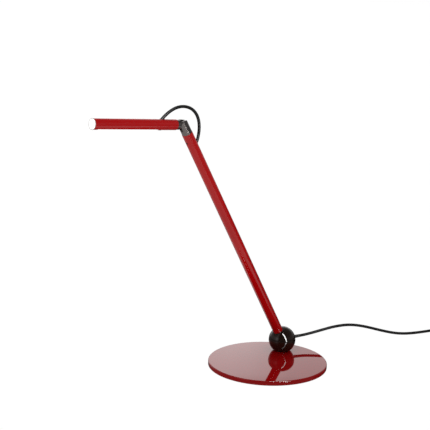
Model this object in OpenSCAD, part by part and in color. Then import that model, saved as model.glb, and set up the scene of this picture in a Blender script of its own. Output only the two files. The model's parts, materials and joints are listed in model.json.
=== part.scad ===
// Slim task lamp: a round base plate, a ball swivel, one leaning tube arm, a hinged elbow
// and a tube head, with a loop of cable across the elbow and a mains cord out of the ball.
// The origin is the centre of the base plate's underside. The arm leans towards -X, in a
// plane parallel to XZ, and the head runs on towards -X from the elbow.

/* [Base] */
// Diameter of the base plate
base_d = 240; // [200:1:300]
// Height of the plate's top above the table
base_top = 9.5; // [6:0.5:12]
// Diameter of the foam pad under the plate
pad_d = 225; // [180:1:236]

/* [Ball] */
// Distance of the ball from the plate's centre, along X
ball_x = 70.5; // [40:0.5:80]
// Distance of the ball and the arm from the plate's centre, along Y
arm_y = 30; // [-40:1:40]
// Outer diameter of the ball
ball_d = 55.5; // [55:0.5:56.5]

/* [Arm] */
// Distance from the ball's centre to the elbow pin
arm_length = 550; // [350:1:700]
// Lean of the arm from upright, in degrees
arm_lean = 30.8; // [25:0.1:35]
// Outer diameter of the arm tube
arm_d = 20.5; // [20:0.5:21]
// Wall of the arm tube and of the head tube
tube_wall = 1.5; // [1:0.1:1.8]

/* [Head] */
// Distance from the elbow pin to the free end of the head
head_length = 208; // [180:1:320]
// Rise of the head's free end, in degrees
head_rise = 5; // [0:0.5:8]
// Outer diameter of the head tube
head_d = 20; // [19.5:0.5:20.5]
// Width of the light slot under the head
slot_w = 10; // [8:0.5:11]

/* [Elbow] */
// Diameter of the metal knuckle on top of the arm
knuckle_d = 19.6; // [19.2:0.1:20]
// Diameter of the metal stub on the head
stub_d = 18.4; // [17.5:0.1:18.6]
// Diameter of the elbow pin and of the tilt pin in the ball
pin_d = 6; // [5:0.5:6]

/* [Cord] */
// Diameter of the mains cord and of the loop cable
cord_d = 6; // [5:0.5:6]

/* [Hidden] */
$fn = 96;
fit = 0.05;             // clearance between pieces that are fixed together
run = 0.05;             // radial clearance of a pin in a bore that turns on it
press = 0.02;           // radial clearance of a pressed or screwed piece
loose = 0.1;            // clearance of a piece that only lies in its place
cut = 1;                // how far a cutter runs on past the face that it opens

base_r = base_d / 2;
plate_bottom = 0.4;     // shadow gap between the plate's rim and the table
pad_h = 1.35;
pad_recess_top = 1.4;
top_round = 2;          // rounding of the plate's upper rim
low_round = 0.8;          // rounding of the plate's lower rim

ball_r = ball_d / 2;
ball_z = base_top + 22.5;
shell_in = ball_r - 2.5;
seam = 5;               // height of the seam between the two shells, from the ball's centre
seam_gap = 0.3;
foot_z = base_top - ball_z; // flat foot of the ball
floor_z = -19.5;        // inside floor of the lower shell
screw_ring = 9.5;       // distance of the base screws from the ball's axis
screw_r = 2;
screw_head_r = 4.1;
screw_rim = 0.3;        // cylindrical edge of the countersunk head
screw_sink = 2.1;       // depth of its cone
screw_hex = 1.4;
axle_r = 4;
axle_head_r = 6.8;
axle_head_h = 1.4;
axle_top = -10.2;
washer_h = 1;
yoke_low = -18.4;
yoke_top = -15.4;
yoke_r = 15;
cheek_in = 7.5;
cheek_out = 11.5;
cheek_half = 8;
cheek_top = 9;
nut_h = 3.5;
nut_r = 6.9;
dome_screw_x = 5.8;
dome_screw_y = 9.6;
dome_screw_r = 1.25;
dome_head_r = 2.2;
dome_head_h = 2;
dome_screw_top = 15;
boss_h = 14.7;
pin_r = pin_d / 2;
tilt_head_r = 4.5;
clip_r = 4.8;
clip_h = 1;
gland_z = -0.5;         // height of the cord's way out, from the ball's centre
gland_r = 3.95;         // neck of the gland in the wall
gland_flange_r = 4.9;
stop_h = 2.5;
swing = 13;             // the arm tilts this many degrees each way
stem_r = 3.2;
slot_half = 3.6;        // half width of the slot that the stem moves in
slot_end_r = 3.8;
slot_reach = swing + 0.4;
hub_r = 8;
hub_half = 6.4;
hub_neck_r = 5;
hub_top = 12;
stem_in = 1.7;          // bore of the stem, for the lead
stem_low = 7.5;
stem_top = 55.5;
disc_h = 1;             // thickness of the friction discs
lead_r = 1.2;
lead_low = 9.1;
lead_top = 69.8;
shutter_half = 36;      // half angle of the shutter that hides the slot
shutter_w = 14;
tube_gap = 0.3;         // gap between the ball and the arm's foot
tube_low = 15;          // below the foot, inside the ball's outline
foot_top = 50;
foot_nut_h = 4;
foot_nut_r = 6.5;
driver_low = 70;
driver_w = 10.8;
driver_h = 80;
driver_tail_r = 2.5;
driver_tail_top = arm_length - 60;

arm_r = arm_d / 2;
arm_in = arm_r - tube_wall;
arm_tube_top = arm_length - 19;
hinge = [ball_x - arm_length * sin(arm_lean), arm_y, ball_z + arm_length * cos(arm_lean)];
knuckle_r = knuckle_d / 2;
knuckle_cut = 9.1;      // height of the knuckle's flat top above the pin, below its round
knuckle_round = 9.3;    // radius of the knuckle's rounded top, from the pin
fork_from = 99;         // the fork's slot is open between these angles
fork_to = 261;
tongue_half = 3;
fork_half = 4;
fork_step = 0.1;        // the open part of the slot is narrower than its round by this on each side
tongue_r = 6.9;
fork_r = 7.3;
tongue_h = 4.6;         // half height of the tongue's straight part
spigot_low = arm_length - 42;
arm_screw_s = arm_length - 36;
arm_screw_r = 2;
arm_screw_h = 5.4;
arm_screw_sunk = 0.4;
elbow_washer_r = 5.6;
elbow_washer_h = 0.9;
bush_r = 3.9;           // the cable's bush in the wall of each tube
bush_proud = 0.4;
bush_wall = 2;
bush_run = 1.6;         // how far the cable's way is drawn on, to pass the wall

head_r = head_d / 2;
head_in = head_r - tube_wall;
stub_r = stub_d / 2;
stub_from = 11;
tube_from = 19;
head_spigot_to = 39;
ring_w = 0.8;
tube_to = head_length - ring_w;
head_screw_d = 29;
head_screw_r = 1.5;
head_screw_h = 4.8;
head_screw_sunk = 0.3;
button_d = 56;          // distance of the push button from the elbow pin
button_r = 3.1;
button_flange_r = 3.9;
button_flange_z = 0.2 - sqrt(pow(head_in, 2) - pow(button_flange_r, 2));
button_proud = 0.3;
plunger_r = 1.2;
switch_size = [8, 6, 2.8];
switch_low = -3.9;
slot_from = 62;
slot_to = head_length - 10;
bar_from = 62;          // heat bar, against the roof of the head
board_z = 1.4;
board_w = 8;
board_h = 1.2;
led_count = 8;
led_size = [3, 3, 0.9];
led_from = slot_from + 2.5;
led_pitch = (slot_to - slot_from - 8) / (led_count - 1);
lens_wall = 0.85;       // wall of the diffuser and of the ring's and lens's sleeves
diffuser_ledge = 1.3;
ring_lip = 0.3;
ring_proud = 0.2;
sleeve_len = 6;

// Loop cable, from inside the head to inside the arm: X and Z from the elbow pin
loop_xz = [
    [-57.4, 8.9], [-51.7, 13.7], [-46, 18.4], [-39.2, 23.1], [-31.7, 27.3],
    [-24, 30.6], [-16.8, 32.7], [-9.6, 33.8], [-2.4, 33.9], [4.8, 33.1],
    [12, 31.2], [18.8, 28.3], [24.8, 24.3], [29.8, 19.5], [33.7, 14.1],
    [36.5, 8.2], [38.3, 2.1], [39.2, -4.1], [39.4, -10.3], [38.9, -16.7],
    [37.6, -23.9], [35.4, -31.3], [32.2, -38.8], [28.9, -46.2]];
loop_route = [for (p = loop_xz) hinge + [p[0], 0, p[1]]];
loop_last = len(loop_route) - 1;

// Thin lead inside the ball, from the arm's hub to the cord gland: X and Z from the ball
lead_xz = [
    [-4.64, 7.71], [-3.71, 6.17], [-2.44, 5.42], [-1.07, 5.66], [1.5, 7.2], [4.9, 9.3],
    [9, 11.6], [13, 12.4], [16, 11], [17.5, 8], [17.4, 4.6], [17, 2.2],
    [17.4, 0.3], [18.7, -0.5], [20, -0.5], [21.5, -0.5]];
lead_route = [for (p = lead_xz) [ball_x + p[0], arm_y, ball_z + p[1]]];

// Mains cord on its way to the table: X and Y from the ball, and Z from the table
cord_exit = [[25, 0, 31.5], [31, 0, 31.3], [36, -0.4, 31.2], [41, -1.4, 31.2], [46.7, -2.9, 31.4]];
cord_run = [
    [47, -3, 31.4], [59, -6, 32], [71, -9.4, 33.2], [83, -13, 34.8], [95, -16.7, 36.7],
    [107, -20.4, 38.5], [119, -24, 40.2], [131, -27.6, 41.4], [143, -31.2, 41.9],
    [155, -34.8, 41.8], [168, -38.7, 40.6], [182, -42.9, 38.1], [198, -47.7, 34],
    [215, -52.8, 28.7], [232, -57.9, 22.9], [249, -63, 17.2], [266, -68.1, 12],
    [283, -73.2, 7.8], [300, -78.3, 5], [318, -83.7, 3.5], [336, -89.1, 3],
    [354, -94.5, 3], [372, -99.9, 3.3], [387, -104.4, 3.8], [402.3, -109, 4]];
exit_route = [for (p = cord_exit) [ball_x + p[0], arm_y + p[1], p[2]]];
mains_route = [for (p = cord_run) [ball_x + p[0], arm_y + p[1], p[2]]];

// Coil of the spare cord, on its tie, and the plug beside it
coil_at = [ball_x + 390.2, arm_y - 149.4, 0];
coil_turns = [42.2, 36, 29.8]; // radii of the turns in one layer
coil_layers = 2;
coil_start = 73.3;            // angle at which the cord joins the coil
tie_h = 1;
tail_angle = coil_start - 50; // angles at which the lead leaves the coil and meets the plug
plug_angle = -67;
plug_r = 60;
coil_top = tie_h + (coil_layers - 0.5) * cord_d;
function smooth(t) = t * t * (3 - 2 * t);
function tail_point(t) = let (
        a = tail_angle + (plug_angle - tail_angle) * t,
        r = coil_turns[0] + (plug_r - coil_turns[0]) * smooth(t),
        drop = smooth(max(0, (t - 0.35) / 0.65)))
    coil_at + [r * cos(a), r * sin(a), coil_top + (cord_d / 2 - coil_top) * drop];
tail_route = [for (i = [3:10]) tail_point(min(i / 10, 0.996))];
plug_heading = plug_angle - 90;
tie_w = 12;
tie_wall = 1.1;
tie_gap = 0.9;
plug_w = 26;
plug_t = 13.6;
plug_end = 60;
relief_len = 26;        // the plug's strain relief
pin_gap = 18.6;
plug_pin_r = 2;
plug_pin_len = 24;
plug_pin_sunk = 6;

function unit(v) = v / norm(v);
function heading(route, i) =
    unit(route[min(i + 1, len(route) - 1)] - route[max(i - 1, 0)]);
// One ring of a tube: side points across the route at its point i
function ring(route, i, r, side, sides) = let (
        t = heading(route, i),
        u = unit(cross(side, t)),
        v = cross(t, u))
    [for (k = [0:sides - 1]) route[i] + r * (u * cos(360 * k / sides) + v * sin(360 * k / sides))];

// ---- frames and shared shapes ----

module at_ball() { translate([ball_x, arm_y, ball_z]) children(); }
// Z runs up the arm from the ball's centre, X points to the arm's upper side
module at_arm() { at_ball() rotate([0, -arm_lean, 0]) children(); }
module at_hinge() { translate(hinge) children(); }
// The head runs along -X from the elbow pin, Z is its upper side
module at_head() { at_hinge() rotate([0, head_rise, 0]) children(); }
module along_head(from) { translate([-from, 0, 0]) rotate([0, -90, 0]) children(); }

module pipe(h, r_out, r_in) {
    difference() {
        cylinder(h = h, r = r_out);
        translate([0, 0, -cut]) cylinder(h = h + 2 * cut, r = r_in);
    }
}

module set_screw(h, r) {
    difference() {
        cylinder(h = h, r = r);
        translate([0, 0, -cut]) cylinder(h = cut + r, r = 0.57 * r, $fn = 6);
    }
}

module hex_nut(h, r, bore) {
    difference() {
        cylinder(h = h, r = r, $fn = 6);
        translate([0, 0, -cut]) cylinder(h = h + 2 * cut, r = bore);
    }
}

// A bar along Y with its middle at the origin
module y_bar(half, r) { rotate([90, 0, 0]) cylinder(h = 2 * half, r = r, center = true); }

// A rod from a through b and on past it, both in a plane parallel to XZ
module way(a, b, r) {
    d = b - a;
    translate(a) rotate([0, atan2(d[0], d[2]), 0]) cylinder(h = bush_run * norm(d), r = r);
}

// A slice of a disc between two angles in the XZ plane, thick along Y
module xz_sector(from, to, r, half) {
    steps = ceil((to - from) / 30);
    rotate([90, 0, 0]) linear_extrude(height = 2 * half, center = true)
        polygon(concat([[0, 0]],
            [for (i = [0:steps]) let (a = from + (to - from) * i / steps) [r * cos(a), r * sin(a)]]));
}

// A round tube swept along a route, with a radius at its start and one at its end
module sweep(route, r0, r1, side, sides) {
    last = len(route) - 1;
    points = [for (i = [0:last]) each ring(route, i, r0 + (r1 - r0) * i / last, side, sides)];
    faces = concat(
        [[for (k = [0:sides - 1]) k]],
        [for (i = [0:last - 1], k = [0:sides - 1]) let (n = (k + 1) % sides)
            [i * sides + k, (i + 1) * sides + k, (i + 1) * sides + n, i * sides + n]],
        [[for (k = [sides - 1:-1:0]) last * sides + k]]);
    polyhedron(points = points, faces = faces, convexity = 6);
}

// ---- base ----

module base_plate() {
    color("firebrick") difference() {
        rotate_extrude() union() {
            translate([0, plate_bottom]) square([base_r - top_round, base_top - plate_bottom]);
            translate([0, plate_bottom + low_round])
                square([base_r, base_top - plate_bottom - low_round - top_round]);
            translate([base_r - top_round, base_top - top_round]) circle(r = top_round);
            translate([base_r - low_round, plate_bottom + low_round]) circle(r = low_round);
            translate([0, plate_bottom]) square([base_r - low_round, low_round + 1]);
        }
        translate([0, 0, -cut]) cylinder(h = pad_recess_top + cut, r = pad_d / 2 + 0.5);
        for (i = [0:2]) at_base_screw(i) {
            translate([0, 0, pad_recess_top - cut]) cylinder(h = cut + screw_rim, r = screw_head_r + loose);
            translate([0, 0, pad_recess_top + screw_rim])
                cylinder(h = screw_sink + loose, r1 = screw_head_r + loose, r2 = screw_r + fit);
            cylinder(h = base_top + cut, r = screw_r + fit);
        }
    }
}

module base_pad() { color("dimgray") cylinder(h = pad_h, r = pad_d / 2); }

module at_base_screw(i) {
    translate([ball_x, arm_y, 0]) rotate([0, 0, 60 + 120 * i])
        translate([screw_ring, 0, 0]) children();
}

module base_screw(i) {
    color("silver") at_base_screw(i) translate([0, 0, pad_recess_top]) difference() {
        union() {
            translate([0, 0, loose]) cylinder(h = screw_rim - loose, r = screw_head_r);
            translate([0, 0, screw_rim]) cylinder(h = screw_sink, r1 = screw_head_r, r2 = screw_r);
            translate([0, 0, cut])
                cylinder(h = ball_z + floor_z - pad_recess_top - loose - cut, r = screw_r);
        }
        cylinder(h = 1.5, r = screw_hex, $fn = 6);
    }
}

// ---- ball, lower half and its swivel ----

module ball_lower() {
    color("black") difference() {
        at_ball() difference() {
            intersection() {
                sphere(r = ball_r);
                translate([0, 0, foot_z]) cylinder(h = seam - foot_z, r = ball_r + cut);
            }
            intersection() {
                sphere(r = shell_in);
                translate([0, 0, floor_z]) cylinder(h = seam - floor_z + cut, r = ball_r);
            }
            translate([0, 0, foot_z - cut]) cylinder(h = cut + axle_head_h + loose, r = axle_head_r + 0.2);
            cylinder(h = 2 * ball_r, r = axle_r + fit, center = true);
            translate([shell_in - 5, 0, gland_z]) rotate([0, 90, 0]) cylinder(h = 10, r = gland_r + fit);
        }
        for (i = [0:2]) at_base_screw(i) cylinder(h = ball_z, r = screw_r + fit);
    }
}

module swivel_axle() {
    color("silver") at_ball() {
        translate([0, 0, foot_z + press]) cylinder(h = axle_head_h, r = axle_head_r);
        translate([0, 0, foot_z + cut]) cylinder(h = axle_top - foot_z - cut, r = axle_r);
    }
}

module friction_washer() {
    color("ivory") at_ball() translate([0, 0, floor_z]) pipe(washer_h, 9, axle_r + loose);
}

module wave_washer() {
    color("silver") at_ball() translate([0, 0, yoke_top + loose]) pipe(washer_h, 7, axle_r + loose);
}

module axle_nut() {
    color("silver") at_ball() translate([0, 0, yoke_top + washer_h + 2 * loose])
        hex_nut(nut_h, nut_r, axle_r + press);
}

// ---- mains cord, gland, coil and plug ----

module cord_gland() {
    color("black") {
        at_ball() translate([shell_in - 2.9, 0, gland_z]) rotate([0, 90, 0]) {
            cylinder(h = 1.5, r = gland_flange_r);
            translate([0, 0, 1]) cylinder(h = 2.6, r = gland_r);
        }
        sweep(exit_route, gland_r - fit, cord_d / 2 + 0.15, [0, 0, 1], 12);
    }
}

module pull_stop() {
    color("black") at_ball() translate([shell_in - 5.5, 0, gland_z]) rotate([0, 90, 0])
        pipe(stop_h, 3, lead_r + loose);
}

module ball_lead() { color("gray") sweep(lead_route, lead_r, lead_r, [0, 1, 0], 8); }

module mains_cord() { color("black") sweep(mains_route, cord_d / 2, cord_d / 2, [0, 0, 1], 10); }

module mains_coil() {
    inner = coil_turns[2] - cord_d / 2;
    outer = coil_turns[0] + cord_d / 2;
    color("black") translate(coil_at + [0, 0, tie_h]) rotate_extrude()
        translate([inner, 0]) square([outer - inner, coil_layers * cord_d]);
}

module coil_tie() {
    inner = coil_turns[2] - cord_d / 2;
    outer = coil_turns[0] + cord_d / 2;
    top = tie_h + coil_layers * cord_d;
    half = (outer - inner) / 2 + tie_gap;
    color("dimgray") translate(coil_at) rotate([0, 0, coil_start + 180])
        translate([(inner + outer) / 2, tie_w / 2, 0]) rotate([90, 0, 0]) linear_extrude(height = tie_w)
            difference() {
                translate([-half - tie_wall, 0]) square([2 * (half + tie_wall), top + tie_wall]);
                translate([-half, tie_h]) square([2 * half, top - tie_h + loose]);
            }
}

module plug_lead() { color("black") sweep(tail_route, cord_d / 2, cord_d / 2, [0, 0, 1], 10); }

// X runs from the lead's end towards the plug's pins
module at_plug() {
    translate(tail_point(1)) rotate([0, 0, plug_heading]) children();
}

module plug_body() {
    color("black") at_plug() translate([0, 0, plug_t / 2 - cord_d / 2]) difference() {
        union() {
            rotate([0, 90, 0]) cylinder(h = relief_len, r1 = 3.3, r2 = 5);
            translate([relief_len - 2, 0, 0]) intersection() {
                translate([0, -plug_w / 2, -plug_t / 2]) cube([plug_end - relief_len + 2, plug_w, plug_t]);
                rotate([0, 90, 0]) cylinder(h = 40, r1 = 8, r2 = 22);
            }
        }
        for (s = [-1, 1]) translate([plug_end - plug_pin_sunk, s * pin_gap / 2, 0]) rotate([0, 90, 0])
            cylinder(h = plug_pin_sunk + cut, r = plug_pin_r + fit);
    }
}

module plug_pin(s) {
    color("silver") at_plug()
        translate([plug_end - plug_pin_sunk + loose, s * pin_gap / 2, plug_t / 2 - cord_d / 2])
            rotate([0, 90, 0]) {
                cylinder(h = plug_pin_len, r = plug_pin_r);
                translate([0, 0, plug_pin_len]) cylinder(h = 1, r1 = plug_pin_r, r2 = plug_pin_r - 0.8);
            }
}

// ---- ball, upper half: yoke, dome and tilt pin ----

module at_dome_screw(i) {
    s = i == 0 ? 1 : -1;
    at_ball() translate([s * dome_screw_x, s * dome_screw_y, 0]) children();
}

module yoke() {
    color("silver") difference() {
        at_ball() difference() {
            union() {
                translate([0, 0, yoke_low]) cylinder(h = yoke_top - yoke_low, r = yoke_r);
                for (s = [0, 1]) mirror([0, s, 0])
                    translate([-cheek_half, cheek_in, yoke_low + 1])
                        cube([2 * cheek_half, cheek_out - cheek_in, cheek_top - yoke_low - 1]);
            }
            cylinder(h = 2 * ball_r, r = axle_r + run, center = true);
            y_bar(yoke_r, pin_r + press);
        }
        for (i = [0, 1]) at_dome_screw(i) {
            translate([0, 0, yoke_low - cut]) cylinder(h = cut + dome_head_h + 0.2, r = dome_head_r + 0.2);
            cylinder(h = 2 * ball_r, r = dome_screw_r + 0.15, center = true);
        }
    }
}

module ball_upper() {
    color("black") difference() {
        at_ball() difference() {
            union() {
                intersection() {
                    difference() {
                        sphere(r = ball_r);
                        sphere(r = shell_in);
                    }
                    translate([0, 0, seam + seam_gap]) cylinder(h = ball_r, r = ball_r + cut);
                }
                for (s = [-1, 1]) translate([s * dome_screw_x, s * dome_screw_y, cheek_top + fit])
                    cylinder(h = boss_h, r = dome_head_r);
            }
            rotate([0, -arm_lean, 0]) {
                xz_sector(90 - slot_reach, 90 + slot_reach, ball_r + 5, slot_half);
                for (s = [-1, 1]) rotate([0, s * slot_reach, 0])
                    translate([0, 0, tube_low]) cylinder(h = 20, r = slot_end_r);
            }
        }
        for (i = [0, 1]) at_dome_screw(i) cylinder(h = dome_screw_top + cut, r = dome_screw_r + fit);
    }
}

module dome_screw(i) {
    color("silver") at_dome_screw(i) difference() {
        union() {
            translate([0, 0, yoke_low + loose]) cylinder(h = dome_head_h, r = dome_head_r);
            translate([0, 0, yoke_low + cut])
                cylinder(h = dome_screw_top - yoke_low - cut, r = dome_screw_r);
        }
        translate([0, 0, yoke_low]) cylinder(h = 1.2, r = dome_head_r / 2, $fn = 6);
    }
}

module tilt_pin() {
    color("silver") at_ball() {
        translate([0, 0.25, 0]) y_bar(13.25, pin_r);
        translate([0, -cheek_out - 1.05, 0]) y_bar(1, tilt_head_r);
    }
}

module pin_clip() {
    color("silver") at_ball() translate([0, cheek_out + clip_h / 2 + loose, 0]) difference() {
        y_bar(clip_h / 2, clip_r);
        y_bar(clip_h, pin_r + press);
        translate([-1.2, -clip_h, -clip_r - cut]) cube([2.4, 2 * clip_h, clip_r]);
    }
}

// ---- arm ----

module arm_hub() {
    color("silver") at_arm() difference() {
        union() {
            y_bar(hub_half, hub_r);
            cylinder(h = hub_top, r = hub_neck_r);
        }
        y_bar(hub_half + cut, pin_r + run);
        translate([0, 0, pin_d - 1.5]) cylinder(h = hub_top, r = stem_in + 0.2);
        translate([0, 0, stem_low - fit]) cylinder(h = hub_top, r = stem_r + fit);
        translate([0, 0, stem_low - 2.1]) rotate([0, 90, 0]) cylinder(h = hub_top, r = stem_in + 0.2);
    }
}

module friction_disc(s) {
    color("sienna") at_arm() translate([0, s * (hub_half + cheek_in) / 2, 0]) difference() {
        y_bar(disc_h / 2, hub_r - 0.5);
        y_bar(disc_h, pin_r + run);
    }
}

module arm_stem() {
    color("silver") at_arm() translate([0, 0, stem_low]) pipe(stem_top - stem_low, stem_r, stem_in);
}

module stem_nut() {
    color("silver") at_arm() translate([0, 0, foot_top]) hex_nut(foot_nut_h, foot_nut_r, stem_r + press);
}

module slot_shutter() {
    color("black") at_arm() difference() {
        intersection() {
            difference() {
                sphere(r = shell_in - 0.5);
                sphere(r = shell_in - 1.5);
            }
            xz_sector(90 - shutter_half, 90 + shutter_half, ball_r + 10, shutter_w / 2);
        }
        cylinder(h = ball_r, r = stem_r + loose);
    }
}

module arm_foot() {
    color("silver") at_arm() difference() {
        translate([0, 0, tube_low]) cylinder(h = foot_top - tube_low, r = arm_in - fit);
        sphere(r = ball_r + tube_gap + 0.2);
        cylinder(h = foot_top + cut, r = stem_r + fit);
    }
}

module arm_tube() {
    color("firebrick") difference() {
        at_arm() difference() {
            translate([0, 0, tube_low]) pipe(arm_tube_top - tube_low, arm_r, arm_in);
            sphere(r = ball_r + tube_gap);
            translate([-arm_d, 0, arm_screw_s]) rotate([0, 90, 0])
                cylinder(h = arm_d, r = arm_screw_r + 0.3);
        }
        loop_way_arm(bush_r + fit);
    }
}

// The way of the loop cable through the arm's wall
module loop_way_arm(r) { way(loop_route[loop_last], loop_route[loop_last - 2], r); }

module arm_lead() {
    color("gray") at_arm() translate([0, 0, lead_low]) cylinder(h = lead_top - lead_low, r = lead_r);
}

module led_driver() {
    color("green") at_arm() {
        translate([-driver_w / 2, -driver_w / 2, driver_low]) cube([driver_w, driver_w, driver_h]);
        translate([0, 0, driver_low + driver_h - cut])
            cylinder(h = driver_tail_top - driver_low - driver_h + cut, r = driver_tail_r);
    }
}

module arm_knuckle() {
    color("dimgray") difference() {
        union() {
            intersection() {
                at_arm() translate([0, 0, arm_tube_top]) cylinder(h = 60, r = knuckle_r);
                at_head() translate([-50, -50, -100 + knuckle_cut]) cube([100, 100, 100]);
                union() {
                    at_hinge() y_bar(knuckle_d, knuckle_round);
                    at_head() translate([0, -20, -60]) cube([60, 40, 120]);
                    at_hinge() rotate([0, -arm_lean, 0]) translate([-30, -20, -80]) cube([60, 40, 80]);
                }
            }
            at_arm() translate([0, 0, spigot_low])
                cylinder(h = arm_tube_top - spigot_low + cut, r = arm_in - fit);
        }
        at_hinge() y_bar(fork_half, fork_r);
        at_head() xz_sector(fork_from, fork_to, 30, fork_half - fork_step);
        at_hinge() y_bar(knuckle_d, pin_r + press);
        at_arm() translate([-arm_d, 0, arm_screw_s]) rotate([0, 90, 0])
            cylinder(h = arm_d - 4, r = arm_screw_r + fit);
    }
}

module arm_set_screw() {
    color("black") at_arm() translate([-arm_r + arm_screw_sunk, 0, arm_screw_s]) rotate([0, 90, 0])
        set_screw(arm_screw_h, arm_screw_r);
}

module arm_grommet() {
    color("black") difference() {
        intersection() {
            loop_way_arm(bush_r);
            at_arm() translate([0, 0, arm_length - 80]) pipe(60, arm_r + bush_proud, arm_in - bush_wall);
        }
        loop_way_arm(cord_d / 2 + fit);
    }
}

module elbow_pin() {
    color("dimgray") intersection() {
        at_hinge() y_bar(knuckle_d, pin_r);
        at_arm() translate([0, 0, arm_length - 10]) cylinder(h = 20, r = knuckle_r);
    }
}

module elbow_washer(s) {
    color("ivory") at_hinge() translate([0, s * (tongue_half + fork_half) / 2, 0]) difference() {
        y_bar(elbow_washer_h / 2, elbow_washer_r);
        y_bar(elbow_washer_h, pin_r + press);
    }
}

module loop_cable() { color("black") sweep(loop_route, cord_d / 2, cord_d / 2, [0, 1, 0], 10); }

// ---- head ----

module head_knuckle() {
    color("dimgray") at_head() difference() {
        union() {
            y_bar(tongue_half, tongue_r);
            translate([-stub_from - 3, -tongue_half, -tongue_h])
                cube([stub_from + 3, 2 * tongue_half, 2 * tongue_h]);
            along_head(stub_from) cylinder(h = tube_from - stub_from, r = stub_r);
            along_head(tube_from - 1) cylinder(h = head_spigot_to - tube_from + 1, r = head_in - fit);
        }
        y_bar(knuckle_d, pin_r + run);
        translate([-head_screw_d, 0, -20]) cylinder(h = 16, r = head_screw_r + fit);
    }
}

module head_set_screw() {
    color("black") at_head() translate([-head_screw_d, 0, -head_r + head_screw_sunk])
        set_screw(head_screw_h, head_screw_r);
}

// The way of the loop cable through the head's wall
module loop_way_head(r) { way(loop_route[0], loop_route[2], r); }

module head_grommet() {
    color("black") difference() {
        intersection() {
            loop_way_head(bush_r);
            at_head() along_head(30) pipe(40, head_r + bush_proud, head_in - bush_wall);
        }
        loop_way_head(cord_d / 2 + fit);
    }
}

module head_tube() {
    color("firebrick") difference() {
        at_head() difference() {
            along_head(tube_from) pipe(tube_to - tube_from, head_r, head_in);
            translate([-slot_to, -slot_w / 2, -20]) cube([slot_to - slot_from, slot_w, 20]);
            translate([-button_d, 0, -20]) cylinder(h = 20, r = button_r + loose);
            translate([-head_screw_d, 0, -20]) cylinder(h = 20, r = head_screw_r + 0.2);
        }
        loop_way_head(bush_r + fit);
    }
}

module heat_bar() {
    color("silver") at_head() intersection() {
        along_head(bar_from) cylinder(h = slot_to + 2 - bar_from, r = head_in - loose);
        translate([-head_length, -head_d, board_z + loose]) cube([head_length, 2 * head_d, head_d]);
    }
}

module led_board() {
    color("white") at_head() translate([-slot_to + 1, -board_w / 2, board_z - board_h])
        cube([slot_to - slot_from - 2, board_w, board_h]);
}

module led_chips() {
    led_z = board_z - board_h - led_size[2] - fit;
    color("yellow") at_head() for (i = [0:led_count - 1])
        translate([-led_from - led_size[0] - i * led_pitch, -led_size[1] / 2, led_z]) cube(led_size);
}

module diffuser() {
    half = slot_w / 2 - 0.15;
    len = slot_to - slot_from - 0.4;
    color("white") at_head() {
        intersection() {
            along_head(slot_from + 0.2) pipe(len, head_r - 0.15, head_in - lens_wall);
            translate([-head_length, -half, -20]) cube([head_length, 2 * half, 20]);
        }
        intersection() {
            along_head(slot_from + 0.2) pipe(len, head_in - fit, head_in - lens_wall);
            translate([-head_length, -half - diffuser_ledge, -20])
                cube([head_length, 2 * (half + diffuser_ledge), 18]);
        }
    }
}

module end_ring() {
    color("gainsboro") at_head() {
        along_head(tube_to + press) pipe(ring_w - press, head_r + ring_proud, head_r - 0.7);
        along_head(tube_to - sleeve_len) pipe(sleeve_len + ring_lip, head_in - fit, head_in - lens_wall);
        along_head(tube_to + press) pipe(ring_lip, head_r, head_in - lens_wall);
    }
}

module end_lens() {
    color("white") at_head() {
        along_head(tube_to + ring_lip + press + fit)
            cylinder(h = ring_w - ring_lip - press - fit - loose, r = head_r - 0.75);
        along_head(tube_to - sleeve_len + 1) cylinder(h = sleeve_len, r = head_in - lens_wall - fit);
    }
}

module switch_body() {
    color("black") at_head()
        translate([-button_d - switch_size[0] / 2, -switch_size[1] / 2, switch_low]) cube(switch_size);
}

module push_button() {
    color("dimgray") at_head() translate([-button_d, 0, 0]) {
        translate([0, 0, -head_r - button_proud]) cylinder(h = head_r - 5, r = button_r);
        translate([0, 0, button_flange_z]) cylinder(h = 0.6, r = button_flange_r);
        translate([0, 0, -6]) cylinder(h = 1.1, r = plunger_r);
    }
}

base_plate();
base_pad();
base_screw(0);  // base_screw_0
base_screw(1);  // base_screw_1
base_screw(2);  // base_screw_2
ball_lower();
swivel_axle();
friction_washer();
wave_washer();
axle_nut();
cord_gland();
pull_stop();
ball_lead();
mains_cord();
mains_coil();
coil_tie();
plug_lead();
plug_body();
plug_pin(-1);  // plug_pin_0
plug_pin(1);  // plug_pin_1
yoke();
ball_upper();
dome_screw(0);  // dome_screw_0
dome_screw(1);  // dome_screw_1
tilt_pin();
pin_clip();
arm_hub();
friction_disc(-1);  // friction_disc_0
friction_disc(1);  // friction_disc_1
arm_stem();
stem_nut();
slot_shutter();
arm_foot();
arm_tube();
arm_lead();
led_driver();
arm_knuckle();
arm_set_screw();
arm_grommet();
elbow_pin();
elbow_washer(-1);  // elbow_washer_0
elbow_washer(1);  // elbow_washer_1
loop_cable();
head_knuckle();
head_set_screw();
head_grommet();
head_tube();
heat_bar();
led_board();
led_chips();
diffuser();
end_lens();
end_ring();
switch_body();
push_button();
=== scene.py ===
"""Looks for the slim task lamp: red lacquered tubes, a black ball joint and a round gloss base plate."""

import json
import math

import bmesh
import bpy
from mathutils import Matrix, Vector


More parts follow.
